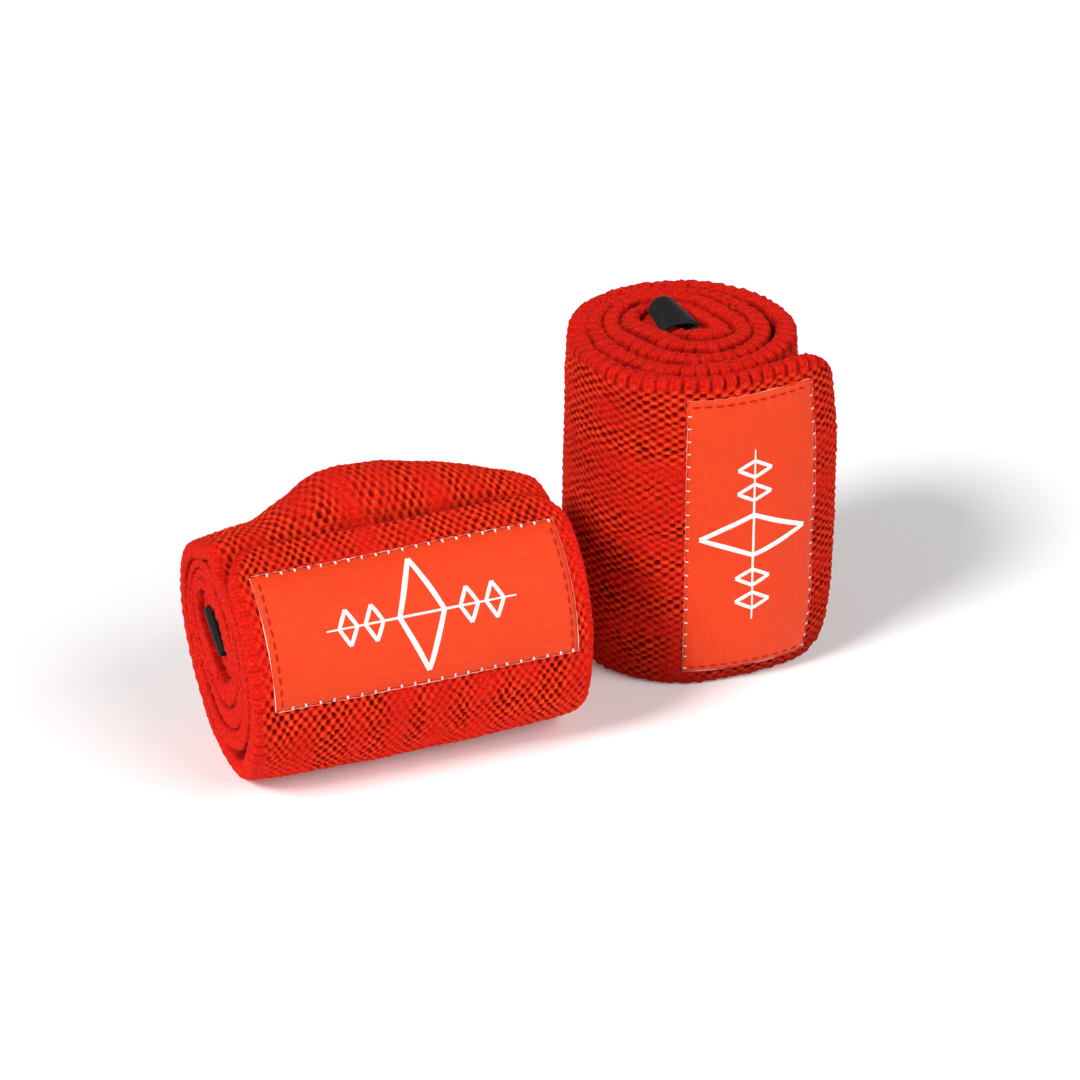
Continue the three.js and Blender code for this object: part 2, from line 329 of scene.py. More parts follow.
def grid_faces(rows, n, start=0):
    """The quads between rings of n points, facing out where the rings follow i and their points j."""
    i, j = [a.ravel() for a in np.meshgrid(np.arange(rows - 1), np.arange(n), indexing="ij")]
    i1, j1 = i + 1, (j + 1) % n
    return start + np.stack([i * n + j, i1 * n + j, i1 * n + j1, i * n + j1], 1)


def closed_faces(rows, n):
    """The faces of a body of rings of n points: corners, sizes, and the two rings that close its ends."""
    quads = grid_faces(rows, n)
    ends = [np.arange(n), np.arange(n)[::-1] + (rows - 1) * n]
    corners = np.concatenate([quads.ravel(), *ends])
    return corners, np.concatenate([np.full(len(quads), 4), [n, n]]), ends


def tubes(name, lines, radius, material, sides=6, uneven=None):
    """One mesh of round threads, one for each line of points."""
    points, corners, sizes, uv, base = [], [], [], [], 0
    turn = np.arange(sides) * 2 * np.pi / sides
    for line in lines:
        line = np.asarray(line, float)
        along = directions(line)
        side = np.cross(along, [0.3, 0.2, 1.0])
        side /= np.linalg.norm(side, axis=1)[:, None] + 1e-12
        lift = np.cross(side, along)
        r = np.full(len(line), radius) if uneven is None else radius * uneven(line)
        r[0] = r[-1] = radius * 0.35
        spokes = np.cos(turn)[:, None] * side[:, None] + np.sin(turn)[:, None] * lift[:, None]
        points.append((line[:, None] + r[:, None, None] * spokes).reshape(-1, 3))
        uv.append(np.stack([np.repeat(distances(line), sides), np.tile(turn, len(line))], 1))
        quads = grid_faces(len(line), sides, start=base)[:, ::-1]
        first = base + np.arange(sides)
        last = first[::-1] + (len(line) - 1) * sides
        corners += [quads.ravel(), first, last]
        sizes += [np.full(len(quads), 4), [sides, sides]]
        base += len(line) * sides
    points, corners, sizes, uv = (np.concatenate(a) for a in (points, corners, sizes, uv))
    return mesh_object(name, points, corners, sizes, uv=uv, material=material)


# ------------------------------------------------------------
# Materials
# ------------------------------------------------------------
def linear(r, g, b):
    """A colour from 0 to 255, as shaders take it."""
    f = lambda c: c / 12.92 if c <= 0.04045 else ((c + 0.055) / 1.055) ** 2.4
    return (f(r / 255), f(g / 255), f(b / 255), 1)


# YARN_DARK and YARN_LIGHT are the yarn's own reds; the third colour is a painted highlight for the
# stitches' crowns
YARN_DARK, YARN_LIGHT, CROWN_HIGHLIGHT = linear(196, 12, 6), linear(240, 44, 16), linear(255, 88, 34)
YARN_PATCH, YARN_COOL, YARN_SHEEN = linear(206, 26, 14), linear(222, 24, 30), linear(255, 96, 74)
# painted shade: the dark reds for the knit's holes, slots and shadow lines
HOLE_SHADE_RED, DEEP_SHADE_RED = linear(122, 4, 2), linear(96, 2, 2)
# the selvedge's red, then a painted highlight and painted shade for its loops
RIM_RED, RIM_HIGHLIGHT, RIM_SHADE = linear(214, 10, 14), linear(252, 60, 40), linear(168, 4, 6)
SATIN_A, SATIN_B, SATIN_SLUB = linear(222, 60, 20), linear(227, 66, 24), linear(230, 52, 20)
SATIN_SHEEN = linear(255, 150, 120)
BLACK_YARN, BLACK_RIB = linear(12, 12, 13), linear(28, 28, 31)
# the last colour is painted shade for the strap's faces
BLACK_FUZZ, STRAP_SHADE_BLACK = linear(40, 39, 42), linear(4, 4, 5)


class Nodes:
    """Short words for building a material's node tree."""

    def __init__(self, name):
        self.material = bpy.data.materials.new(name)
        self.material.use_nodes = True
        self.tree = self.material.node_tree
        self.shader = self.tree.nodes["Principled BSDF"]
        self.place = self.add("ShaderNodeTexCoord").outputs["Object"]

    def add(self, kind, **props):
        n = self.tree.nodes.new(kind)
        for k, v in props.items():
            setattr(n, k, v)
        return n

    def put(self, socket, value):
        if isinstance(value, bpy.types.NodeSocket):
            self.tree.links.new(value, socket)
        else:
            socket.default_value = value

    def math(self, op, *values, clamp=False):
        n = self.add("ShaderNodeMath", operation=op, use_clamp=clamp)
        for socket, value in zip(n.inputs, values):
            self.put(socket, value)
        return n.outputs[0]

    def times(self, a, b):
        return self.math("MULTIPLY", a, b)

    def noise(self, scale, detail=3.0, roughness=0.55, vector=None):
        n = self.add("ShaderNodeTexNoise")
        n.inputs["Scale"].default_value = scale
        n.inputs["Detail"].default_value = detail
        n.inputs["Roughness"].default_value = roughness
        self.put(n.inputs["Vector"], self.place if vector is None else vector)
        return n.outputs["Fac"]

    def uv(self):
        """The distance along the piece, the distance across it, and both together."""
        both = self.add("ShaderNodeUVMap", uv_map="UVMap").outputs[0]
        split = self.add("ShaderNodeSeparateXYZ")
        self.put(split.inputs[0], both)
        return split.outputs[0], split.outputs[1], both

    def field(self, name):
        return self.add("ShaderNodeAttribute", attribute_name=name).outputs["Fac"]

    def remap(self, value, a, b, c=0.0, d=1.0):
        n = self.add("ShaderNodeMapRange", interpolation_type="SMOOTHSTEP")
        self.put(n.inputs["Value"], value)
        n.inputs["From Min"].default_value, n.inputs["From Max"].default_value = a, b
        n.inputs["To Min"].default_value, n.inputs["To Max"].default_value = c, d
        return n.outputs[0]

    def mix(self, factor, a, b):
        n = self.add("ShaderNodeMix", data_type="RGBA")
        self.put(n.inputs[0], factor)
        self.put(n.inputs[6], a)
        self.put(n.inputs[7], b)
        return n.outputs[2]

    def bump(self, height, distance, strength, under=None):
        n = self.add("ShaderNodeBump")
        n.inputs["Distance"].default_value = distance
        n.inputs["Strength"].default_value = strength
        self.put(n.inputs["Height"], height)
        if under is not None:
            self.put(n.inputs["Normal"], under)
        return n.outputs[0]

    def wave(self, value, pitch, phase=0.0):
        """A cosine of a value in millimetres, from -1 to 1."""
        return self.math("COSINE", self.math("MULTIPLY_ADD", value, 2 * math.pi / pitch, phase))

    def finish(self, colour, relief=None, **constants):
        """Fills the shader in. constants go by the names of its inputs, with _ for a space."""
        self.put(self.shader.inputs["Base Color"], colour)
        if relief is not None:
            self.put(self.shader.inputs["Normal"], relief)
        for name, value in constants.items():
            self.shader.inputs[name.replace("_", " ")].default_value = value
        return self.material


def knit_material():
    m = Nodes("knit")
    u, v = m.uv()[:2]
    pit, face = m.field("pit"), m.field("open")
    lattice = m.times(m.wave(u, 2 * STITCH_ALONG), m.wave(v, STITCH_ACROSS))
    ragged = m.math("ADD", lattice, m.math("MULTIPLY_ADD", m.noise(1500, 3, 0.6), 1.7, -0.85))
    # painted shade: the knit's holes darken as if in shadow
    hole = m.math("MAXIMUM", m.times(m.remap(ragged, 0.15, 0.72), face), pit)
    # painted highlight: the stitches' crowns are lighter, as if lit
    crown = m.times(m.remap(ragged, 0.1, -0.8), face)
    colour = m.mix(m.remap(m.noise(2300, 4, 0.7), 0.36, 0.64), YARN_DARK, YARN_LIGHT)
    colour = m.mix(m.times(crown, 0.7), colour, CROWN_HIGHLIGHT)
    colour = m.mix(m.remap(m.noise(120, 3, 0.5), 0.4, 0.75, 0.0, 0.4), colour, YARN_PATCH)
    colour = m.mix(m.remap(m.noise(420, 2, 0.5), 0.45, 0.75, 0.0, 0.4), colour, YARN_COOL)
    colour = m.mix(m.times(hole, 0.93), colour, HOLE_SHADE_RED)
    # the selvedges: fuzzy loops of yarn, closer together than the stitches, with painted highlights and
    # shade
    fuzz = m.math("MULTIPLY_ADD", m.noise(1900, 3, 0.7), 5.0, -2.5)
    loops = m.math("MULTIPLY_ADD", m.wave(u, 0.7 * STITCH_ALONG, 0.8), 0.25, fuzz)
    rim = m.math("SUBTRACT", 1.0, face, clamp=True)
    colour = m.mix(m.times(rim, 0.35), colour, RIM_RED)
    colour = m.mix(m.times(rim, m.remap(loops, 0.0, 0.9, 0.0, 0.45)), colour, RIM_HIGHLIGHT)
    colour = m.mix(m.times(rim, m.remap(loops, -0.1, -0.9, 0.0, 0.45)), colour, RIM_SHADE)
    # painted shade: slots, holes and the dark lines from shadows()
    colour = m.mix(m.times(pit, 0.9), colour, DEEP_SHADE_RED)
    # painted light: the knit's brightness is scaled wrap by wrap and towards the floor
    tone = m.add("ShaderNodeHueSaturation")
    m.put(tone.inputs["Value"], m.field("tone"))
    m.put(tone.inputs["Color"], colour)
    yarn = m.bump(m.noise(3400, 3, 0.65), 0.00032, 1.0)
    relief = m.bump(m.times(m.times(ragged, -1.0), face), 0.00025, 0.7, yarn)
    return m.finish(
        tone.outputs[0], relief, Roughness=0.9, Specular_IOR_Level=0.06,
        Sheen_Weight=0.14, Sheen_Roughness=0.4, Sheen_Tint=YARN_SHEEN,
    )


def satin_material():
    m = Nodes("label_satin")
    u, v, both = m.uv()
    weave = m.bump(m.times(m.wave(u, 0.34), m.wave(v, 0.42)), 0.00003, 0.6)
    slub = m.noise(260, 4, 0.6)
    stretch = m.add("ShaderNodeMapping")
    stretch.inputs["Scale"].default_value = (1.1, 0.06, 1)
    m.put(stretch.inputs["Vector"], both)
    streak = m.noise(2.2, 3, 0.6, vector=stretch.outputs[0])
    colour = m.mix(m.remap(streak, 0.3, 0.7), SATIN_A, SATIN_B)
    colour = m.mix(m.remap(slub, 0.4, 0.8, 0, 0.3), colour, SATIN_SLUB)
    return m.finish(
        colour, m.bump(slub, 0.0002, 0.5, weave), Roughness=0.5, Specular_IOR_Level=0.16,
        Sheen_Weight=0.06, Sheen_Tint=SATIN_SHEEN,
    )


def thread_material(name, a, b, sheen):
    m = Nodes(name)
    u, v = m.uv()[:2]
    twist = m.math("COSINE", m.math("MULTIPLY_ADD", u, 9.0, m.times(v, 2.0)))
    colour = m.mix(m.remap(m.noise(2600, 2), 0.3, 0.7), a, b)
    relief = m.bump(twist, 0.00004, 0.7)
    return m.finish(colour, relief, Roughness=0.7, Specular_IOR_Level=0.2, Sheen_Weight=sheen)


def elastic_material():
    m = Nodes("black_elastic")
    u, v = m.uv()[:2]
    ribs = m.wave(v, STRAP_RIB)
    picks = m.times(m.wave(u, 0.62), ribs)
    colour = m.mix(m.remap(ribs, -1, 1, 0, 0.35), BLACK_YARN, BLACK_RIB)
    colour = m.mix(m.remap(m.noise(900, 4), 0.45, 0.8, 0, 0.5), colour, BLACK_FUZZ)
    # painted shade: the strap's inner face, or both its faces, darkened as if in shadow
    colour = m.mix(m.times(m.field("inside"), 0.85), colour, STRAP_SHADE_BLACK)
    relief = m.bump(ribs, 0.00004, 0.35, m.bump(picks, 0.00004, 0.5))
    return m.finish(
        colour, relief, Roughness=0.66, Specular_IOR_Level=0.25, Sheen_Weight=0.08, Sheen_Roughness=0.4
    )


def tape_material():
    m = Nodes("hook_tape")
    u, v = m.uv()[:2]
    colour = m.mix(m.remap(m.noise(700, 3), 0.3, 0.7), linear(150, 20, 12), linear(188, 36, 22))
    relief = m.bump(m.times(m.wave(u, 0.6), m.wave(v, 0.6)), 0.00008, 0.7)
    return m.finish(colour, relief, Roughness=0.5, Specular_IOR_Level=0.5)


def print_material():
    m = Nodes("print_white")
    colour = m.mix(m.remap(m.noise(1500, 3), 0.35, 0.7), linear(255, 246, 242), linear(248, 226, 218))
    return m.finish(colour, m.bump(m.noise(5200, 2), 0.00003, 0.5), Roughness=0.6)


def paper_material():
    m = Nodes("paper")
    colour = m.mix(m.noise(30, 2), linear(250, 250, 250), linear(246, 246, 247))
    return m.finish(colour, Roughness=0.9, Emission_Color=(1, 1, 1, 1), Emission_Strength=0.1)


KNIT = knit_material()
SATIN = satin_material()
WHITE = thread_material("white_thread", linear(250, 236, 232), linear(232, 206, 200), sheen=0.2)
PALE = thread_material("pale_thread", linear(252, 210, 196), linear(250, 164, 138), sheen=0.2)
RED = thread_material("red_thread", linear(196, 30, 14), linear(170, 18, 8), sheen=0.0)
BLACK = elastic_material()
TAPE = tape_material()
PRINT = print_material()


# ------------------------------------------------------------
# One wrap
# ------------------------------------------------------------
class Wrap:
    """A wrap in its roll's own axes: x and y lie in the roll's end, and z runs up the band's width.

    A place on the band is s, the distance along it from the peel line, and z.
    """

    def __init__(self, form):
        self.form, self.name = form, form.name
        joint = {j["name"]: j for j in frame["joints"]}[self.name + "_tab_peel"]
        self.hinge, axis = np.array(joint["pos_m"]) / MM, -np.array(joint["axis"], float)
        self.axes = np.eye(3)
        if form.turned is not None:
            up = np.array([0, 0, 1.0])
            front = np.cross(up, axis)
            a = math.radians(form.turned)
            first, second = up * math.sin(a) - front * math.cos(a), -up * math.cos(a) - front * math.sin(a)
            self.axes = np.stack([first, second, axis])
        self.origin = self.hinge - self.axes.T @ np.array([*(outward(PEEL) * ROLL_RADIUS), WIDTH / 2])
        self.start = PEEL - 360 * TURNS
        self.label_box = form.label_start, form.label_start + LABEL_LENGTH, LABEL_INSET, WIDTH - LABEL_INSET
        self.trace()

    def world(self, local):
        return self.origin + np.asarray(local) @ self.axes

    def noise(self, x, y, cell, salt):
        return noise(x, y, cell, self.form.seed + salt)

    # -- the band's line ------------------------------------------------------------------------
    def place(self, angle):
        """The outer face at an angle of the roll: a spiral round a flattened core, off the middle."""
        form = self.form
        core = CORE_HALF_GAP + BAND_THICKNESS
        pairs = [(self.start + a, core + gain) for a, gain in CORE_GROWTH]
        pairs += [(PEEL + a, r) for a, r in form.outer_turn]
        radius = knots(pairs, angle, 7.0)
        inner = (1 - (radius - core) / (ROLL_RADIUS - core))[:, None]
        c = cosine(angle - form.slit_angle)
        towards = (c / np.sqrt(c * c + 0.02))[:, None]
        stretch = outward(form.slit_angle) * inner * (CORE_HALF_LENGTH - CORE_HALF_GAP) * towards
        return outward(angle) * radius[:, None] + stretch + np.array(form.core_centre) * inner

    def trace(self):
        """The outer face's line, seen from the roll's end: by s its point, way out, thickness and angle."""
        angle = np.arange(self.start, PEEL + ANGLE_STEP / 2, ANGLE_STEP)
        point = self.place(angle)
        pitch = np.sum((point - self.place(angle - 360)) * outward(angle), 1)
        pitch[angle - 360 < self.start] = INNERMOST_PITCH
        thick = np.clip(pitch - TURN_GAP, THINNEST, np.where(angle < CORE_ANGLE, CORE_THICKEST, THICKEST))
        # the free end
        n = FREE_STEPS
        d = (np.arange(n) + 0.5) * TAB_LENGTH / n
        heading = np.radians(knots(self.form.heading, d, 1.5))
        steps = np.stack([np.cos(heading), np.sin(heading)], 1) * TAB_LENGTH / n
        line = np.concatenate([point, point[-1] + np.cumsum(steps, 0)])
        s = distances(line)
        s -= s[len(point) - 1]
        # all of it again, at even distances
        self.s = np.arange(s[0], s[-1], LINE_STEP)
        self.line = blurred(np.stack([np.interp(self.s, s, line[:, k]) for k in range(2)], 1), LINE_BLUR)
        thick = np.concatenate([thick, np.full(n, FREE_END_THICKNESS)])
        self.thick = blurred(np.interp(self.s, s, thick), THICKNESS_BLUR)
        tangent = directions(self.line)
        self.out = np.stack([tangent[:, 1], -tangent[:, 0]], 1)
        angle = np.concatenate([angle, PEEL + np.degrees(d / ROLL_RADIUS)])
        self.angle = np.interp(self.s, s, angle)

    def at(self, s):
        point = np.stack([np.interp(s, self.s, self.line[:, k]) for k in range(2)], -1)
        out = np.stack([np.interp(s, self.s, self.out[:, k]) for k in range(2)], -1)
        return point, out, np.interp(s, self.s, self.thick), np.interp(s, self.s, self.angle)

    def s_of(self, angle):
        return float(np.interp(angle, self.angle[self.s <= 0], self.s[self.s <= 0]))

    def lift(self, s, angle, z):
        """How far the outermost turn stands away from its drawn line: bulges, dents and pinched edges."""
        form = self.form
        rise = 0.32 * self.noise(s, z, 17, 0) + 0.16 * self.noise(s, z, 7, 1)
        rise = rise - form.foot_pull * np.exp(-z / 5.0) - form.mouth_pull * np.exp(-(WIDTH - z) / 5.0)
        rise = rise + form.slack(s, angle - PEEL, z)
        if form.hump:
            around = knots(form.hump.around, angle - PEEL, 6.0)
            along = knots(form.hump.along, z, 1.3)
            rise = rise + around * along * (1 + 0.07 * self.noise(s * 0.5, z, 8, 5))
        return rise * smoothstep(-372, -330, angle)

    def surface(self, s, z, height):
        """A point a height above the outer face."""
        point, out, _, angle = self.at(s)
        flat = point + out * (self.lift(s, angle, z) + height)[..., None]
        return self.world(np.concatenate([flat, np.asarray(z)[..., None]], -1))

    # -- the knitted skin -----------------------------------------------------------------------
    def section(self, rows_out, rows_in):
        """The band's section, up its outer face and down its inner one.

        depth goes from 0 on the outer face to 1 on the inner one, way_n and way_z point out of the
        band, and run is z along the outline, so that the stitches run on over the selvedges.
        """
        turn = np.linspace(0, np.pi, EDGE_POINTS)[1:-1]
        squash = lambda x, power: np.sign(x) * np.abs(x) ** power
        through, bulge = 0.5 * squash(np.cos(turn), 0.85), EDGE * squash(np.sin(turn), 0.6)
        outer_z = np.linspace(EDGE, WIDTH - EDGE, rows_out)
        inner_z = np.linspace(WIDTH - EDGE, EDGE, rows_in)
        outer, inner = np.zeros(rows_out), np.zeros(rows_in)
        arc = EDGE * (1 - np.abs(np.cos(turn))) * 1.2
        over = np.where(turn < np.pi / 2, arc, 2.4 * EDGE + 1.2 - arc)
        return SimpleNamespace(
            depth=np.concatenate([outer, 0.5 - through, inner + 1, 0.5 + through]),
            z=np.concatenate([outer_z, WIDTH - EDGE + bulge, inner_z, EDGE - bulge]),
            run=np.concatenate([outer_z, WIDTH - EDGE + over, 2 * WIDTH - inner_z, EDGE - over[::-1]]),
            way_n=np.concatenate([outer + 1, np.cos(turn), inner - 1, -np.cos(turn)]),
            way_z=np.concatenate([outer, np.sin(turn), inner, -np.sin(turn)]),
        )

    def knit(self, S, Z, V, A, border, way_n):
        """How far the stitches stand out, how much shade is painted into their holes and slots, how open
        the knit is, and its yarns.
        """
        form = self.form
        # yarns don't run quite true
        warp_s = S + 0.42 * self.noise(S, V, 4.1, 2) + 0.22 * self.noise(S, V, 1.9, 3)
        warp_z = V + 0.44 * self.noise(S, V, 4.7, 4) + 0.22 * self.noise(S, V, 1.8, 6)
        columns = np.cos(np.pi * warp_s / STITCH_ALONG)
        lattice = columns * np.cos(2 * np.pi * warp_z / STITCH_ACROSS)
        # stripes of tighter and looser stitches run along the band
        stripe = np.cos(2 * np.pi * (Z + 1.5 * self.noise(S, Z, 30, 7)) / STRIPE)
        loose = np.clip(0.74 + 0.26 * stripe + 0.5 * self.noise(S, Z, 9, 8), 0.15, 1.25)
        # towards the selvedges the holes give way to slots across the edge, which leave it toothed
        reach = smoothstep(3.2, 1.9, border) * np.where(way_n > -0.2, 1.0, 0.3)
        hole = smoothstep(0.25, 0.85, lattice + 0.55 * self.noise(0.6 * S, 1.3 * V, 1.0, 16))
        hole = hole * loose * (1 - 0.8 * reach)
        crown = smoothstep(0.1, -0.9, lattice)
        at_mouth, at_foot = form.slots
        strength = np.where(Z > WIDTH / 2, at_mouth, at_foot) * (0.58 + 0.42 * cosine(A))
        strength = strength * np.clip(0.75 + 0.7 * self.noise(S, np.round(Z / WIDTH), 2.3, 15), 0.1, 1.1)
        slot = smoothstep(0.5, 0.92, columns) * reach * smoothstep(-0.3, 0.5, border) * strength
        puff = (0.5 - 0.5 * columns) * reach
        fuzz = (COARSE_FUZZ + form.rim_fuzz * reach) * self.noise(S, V, 0.9, 10)
        fuzz = fuzz + (FINE_FUZZ + 0.6 * form.rim_fuzz * reach) * self.noise(S * 1.3, V * 1.3, 0.55, 12)
        push = SKIN_LIFT + CROWN_LIFT * crown + PUFF_LIFT * puff + fuzz
        push = push - HOLE_DEPTH * hole - SLOT_DEPTH * slot
        # painted shade: the holes and slots darken as if in shadow
        pit = np.maximum(slot * 1.05, hole * 0.85)
        return push, pit, np.clip(smoothstep(1.2, 2.6, border) * loose, 0, 1), warp_s, warp_z

    def shadows(self, S, Z, A, border, cut):
        """Painted shade: dark lines beside the hump, at the free end's tip, and between turns at the roll's
        ends, where shadow falls.
        """
        turned = A - PEEL
        # a painted shadow beside the hump, and painted shade along the free end's tip
        groove = self.form.groove * smoothstep(-262, -272, turned) * smoothstep(-296, -286, turned)
        tip = 0.6 * smoothstep(TAB_LENGTH - 1.3, TAB_LENGTH - 0.2, S)
        groove = np.maximum(groove * smoothstep(78, 62, Z), tip) * (cut.way_n > 0)
        groove = groove * np.clip(0.8 + 0.5 * self.noise(S, Z, 4, 17), 0.2, 1)
        # painted shade between the turns at the roll's ends
        inner_side = smoothstep(0.8, 1.0, cut.depth) * smoothstep(15, -15, S)
        outer_side = smoothstep(0.2, 0.0, cut.depth) * smoothstep(-345, -375, A)
        crease_shade = 0.5 * np.maximum(inner_side, outer_side) * smoothstep(2.2, 1.2, border)
        crease_shade = crease_shade * np.clip(0.75 + 0.6 * self.noise(S, 0 * S, 2.3, 18), 0.1, 1)
        return np.maximum(groove, crease_shade)

    def skin(self, name, s, rows):
        """The band's closed skin over a run of distances: knitted faces and toothed selvedges."""
        form = self.form
        point, out, thick, angle = self.at(s)
        cut = self.section(*rows)
        blank = np.zeros((len(s), len(cut.z)))
        S, Z, A = s[:, None] + blank, cut.z + blank, angle[:, None] + blank
        # the free end's round corners
        into = np.clip(s - (TAB_LENGTH - CORNER_RADIUS), 0, CORNER_RADIUS)
        inset = (CORNER_RADIUS - np.sqrt(np.maximum(CORNER_RADIUS**2 - into**2, 0)))[:, None]
        Z = inset + Z * (WIDTH - 2 * inset) / WIDTH
        V = Z + (cut.run - cut.z)
        border = np.minimum(Z - inset, WIDTH - inset - Z)
        push, pit, opened, warp_s, warp_z = self.knit(S, Z, V, A, border, cut.way_n)
        # painted shade: the holes' and slots' shade, with the painted shadow lines added
        pit = np.clip(np.maximum(pit, self.shadows(S, Z, A, border, cut)), 0, 1)
        # thickness runs out to a rounded edge at the free end
        tip = np.clip((s - (TAB_LENGTH - TIP_ROUND)) / TIP_ROUND, 0, 1)
        full = np.sqrt(np.maximum(1 - tip**2, 0.0))[:, None]
        below = thick[:, None] * (0.5 + (cut.depth - 0.5) * full)
        across = self.lift(S, A, Z) - below + push * cut.way_n * (0.35 + 0.65 * full)
        flat = point[:, None, :] + out[:, None, :] * across[:, :, None]
        flat[:, :, 0] += form.lean * (Z / WIDTH) ** 2
        # the turns' rims don't lie quite level
        rim = (Z / WIDTH) * (0.35 * self.noise(S, S * 0, 13, 13) - 0.2)
        rim = rim + (1 - Z / WIDTH) * (0.25 + 0.25 * self.noise(S, S * 0, 15, 14)) + form.rim(A, Z)
        local = np.concatenate([flat, (Z + rim + push * cut.way_z)[:, :, None]], 2)
        points = self.world(local.reshape(-1, 3))
        points[:, 2] = np.maximum(points[:, 2], 0.0)
        # painted light and shade: the lying knit lighter all over and near the floor, the standing one
        # darker near it
        tone = form.tone[0] + form.tone[1] * np.exp(-points[:, 2] / 16.0)
        corners, sizes, ends = closed_faces(*S.shape)
        uv = np.stack([warp_s.ravel(), warp_z.ravel()], 1)
        fields = {"pit": pit, "open": opened, "tone": tone}
        return mesh_object(name, points, corners, sizes, uv=uv, fields=fields, sharp=ends, material=KNIT)

    def patch(self, name, s, z, top, under, material):
        """A closed sheet over a rectangle of the outer face: top(S, Z) and under(S, Z) are heights."""
        S, Z = np.meshgrid(s, z, indexing="ij")
        rows, n = len(s), 2 * len(z)
        upper, lower = self.surface(S, Z, top(S, Z)), self.surface(S, Z, under(S, Z))
        # a ring for each s: up the outside, down the inside
        ring = np.concatenate([upper, lower[:, ::-1]], 1)
        uv = np.stack([S, Z], 2)
        uv = np.concatenate([uv, uv[:, ::-1]], 1)
        k = np.arange(len(z) - 1)
        cap = np.stack([k, k + 1, n - 2 - k, n - 1 - k], 1)
        faces = np.concatenate([grid_faces(rows, n), cap, (rows - 1) * n + cap[:, ::-1]])
        return mesh_object(name, ring.reshape(-1, 3), faces, uv=uv.reshape(-1, 2), material=material)

    # -- pieces ---------------------------------------------------------------------------------
    def build(self):
        roll, tab_body, loop_body = (self.name + b for b in ("_roll", "_end", "_loop"))
        split, turn_start = self.s_of(SPLIT_ANGLE), self.s_of(OUTER_ANGLE)
        last = TAB_LENGTH - TIP_ROUND
        tip = TAB_LENGTH - TIP_ROUND * (1 - np.sin(np.linspace(0.08, 1, 12) * np.pi / 2))
        spaced = lambda a, b, step: np.linspace(a, b, int((b - a) / step))
        core = self.skin(self.name + "_inner_turns", spaced(self.s[0], turn_start, CORE_STEP), CORE_ROWS)
        outer = self.skin(self.name + "_outer_turn", spaced(turn_start, split, SKIN_STEP), OUTER_ROWS)
        s = np.concatenate([spaced(split, last, SKIN_STEP), tip])
        free = self.skin(self.name + "_free_end", s, FREE_ROWS)
        for piece in (core, outer):
            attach(piece, roll)
            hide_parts(self.name + "_band")
        bend = np.array([self.s_of(BEND_ANGLE), BEND_END])
        a, b = self.surface(bend, np.array([WIDTH / 2] * 2), np.zeros(2))
        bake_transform(free)
        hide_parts(self.name + "_tab")
        self.label(tab_body)
        self.emblem(tab_body)
        self.needlework(tab_body)
        self.tape(tab_body)
        self.loop(roll, loop_body)
        self.tails(roll)

    def label_top(self, S, Z):
        """The label's height over the knit: padded in the middle, drawn down at its edges and ticks."""
        s0, s1, z0, z1 = self.label_box
        off_side = np.minimum(S - s0, s1 - S)
        d = np.minimum(off_side, np.minimum(Z - z0, z1 - Z))
        pull = (0.5 + 0.5 * np.cos(2 * np.pi * (Z - z0) / 2.9)) * np.exp(-(off_side**2) / 1.6)
        h = 0.42 + 0.42 * (1 - np.exp(-np.clip(d, 0, None) / 1.6)) - 0.16 * pull
        h = h + 0.10 * self.noise(S, Z, 6, 20) + 0.05 * self.noise(S, Z, 2.2, 21)
        return h - 0.25 * np.exp(-d / 0.25)

    def on_label(self, s, z, above):
        s, z = np.asarray(s, float), np.asarray(z, float)
        return self.surface(s, z, self.label_top(s, z) + above)

    def label(self, body):
        def closer_at_ends(a, b):
            inside = np.arange(a + 0.6, b - 0.5, 0.45)
            return np.concatenate([[a, a + 0.12, a + 0.3], inside, [b - 0.3, b - 0.12, b]])

        s0, s1, z0, z1 = self.label_box
        s, z = closer_at_ends(s0, s1), closer_at_ends(z0, z1)
        flat = lambda S, _: np.full(S.shape, 0.02)
        label = self.patch(self.name + "_label_patch", s, z, self.label_top, flat, SATIN)
        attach(label, body)
        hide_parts(self.name + "_label")

    def emblem(self, body):
        """A made-up mark: a tall open rhombus on a long thin line, with two small lozenges on each side."""
        s0, s1 = self.label_box[:2]
        at = lambda along, up: ((s0 + s1) / 2 + up, WIDTH / 2 + along)
        points, faces, base = [], [], 0

        def stroke(one, two, widths):
            """A flat stroke with bevelled sides, from one (s, z) point to another."""
            nonlocal base
            one, two = np.array(one), np.array(two)
            count = max(12, int(np.abs(two - one).max() / 0.4))
            fine = np.linspace(one, two, count)
            w = np.interp(np.linspace(0, 1, count), np.linspace(0, 1, len(widths)), widths)
            d = directions(fine)
            side = np.stack([-d[:, 1], d[:, 0]], 1) * (w / 2)[:, None]
            ring = []
            for off, up in ((-1, 0.0), (-0.86, 0.075), (0.86, 0.075), (1, 0.0)):
                q = fine + side * off
                ring.append(self.on_label(q[:, 0], q[:, 1], up - 0.02))
            points.append(np.stack(ring, 1).reshape(-1, 3))
            faces.append(grid_faces(count, 4, start=base))
            base += count * 4

        def lozenge(middle, wide, tall, width):
            tips = [at(middle - wide, 0), at(middle, tall), at(middle + wide, 0), at(middle, -tall)]
            for one, two in zip(tips, tips[1:] + tips[:1]):
                stroke(one, two, [width, width * 1.15, width])

        stroke(at(-22.0, 0.0), at(22.0, 0.0), [0.35, 0.55, 0.55, 0.35])
        lozenge(middle=0, wide=5.2, tall=12.4, width=1.15)
        for middle in (-17.0, -11.0, 11.0, 17.0):
            lozenge(middle, wide=2.1, tall=3.9, width=0.85)
        points, faces = np.concatenate(points), np.concatenate(faces)
        mark = mesh_object(self.name + "_emblem", points, faces, material=PRINT)
        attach(mark, body)

